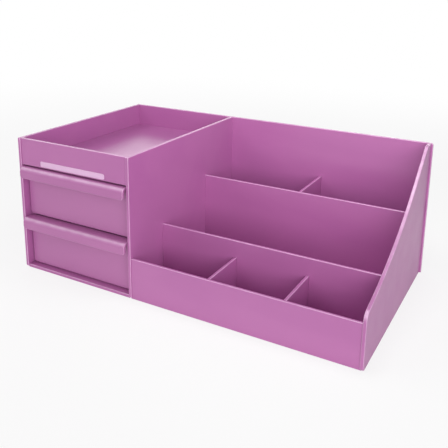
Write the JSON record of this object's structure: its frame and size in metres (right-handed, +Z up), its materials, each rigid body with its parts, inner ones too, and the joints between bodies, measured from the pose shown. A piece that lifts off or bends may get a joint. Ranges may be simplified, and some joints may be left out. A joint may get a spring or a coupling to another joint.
{
  "type": "makeup organizer with drawers",
  "caption": "Desk organizer of moulded panels: cabinet with an open tray above hooded-pull drawers, beside stepped open compartments with a swept side wall.",
  "frame": {"origin": "on the table, under the middle of the whole object with its drawers closed", "axes": "+X to the right along the width, +Y to the back panel, +Z up; drawers open towards -Y"},
  "size_m": [0.313, 0.1756, 0.12],
  "materials": {
    "case_plastic": "semi-gloss moulded orchid purple",
    "drawer_plastic": "semi-gloss moulded orchid purple"
  },
  "bodies": {
    "case": {"left_side_wall": "case_plastic", "cabinet_partition": "case_plastic", "right_side_wall": "case_plastic", "back_panel": "case_plastic", "drawer_bay_floor": "case_plastic", "tier_floor": "case_plastic", "tray_floor": "case_plastic", "tray_front_lip": "case_plastic", "tier_front_wall": "case_plastic", "mid_step_wall": "case_plastic", "rear_step_wall": "case_plastic", "front_divider_left": "case_plastic", "front_divider_right": "case_plastic", "rear_divider": "case_plastic"},
    "upper_drawer_body": {"upper_drawer": "drawer_plastic"},
    "lower_drawer_body": {"lower_drawer": "drawer_plastic"}
  },
  "joints": [
    {"name": "upper_drawer_slide", "type": "slide", "parent": "case", "child": "upper_drawer_body", "axis": [0, -1, 0], "range_m": [0, 0.12]},
    {"name": "lower_drawer_slide", "type": "slide", "parent": "case", "child": "lower_drawer_body", "axis": [0, -1, 0], "range_m": [0, 0.12]}
  ]
}
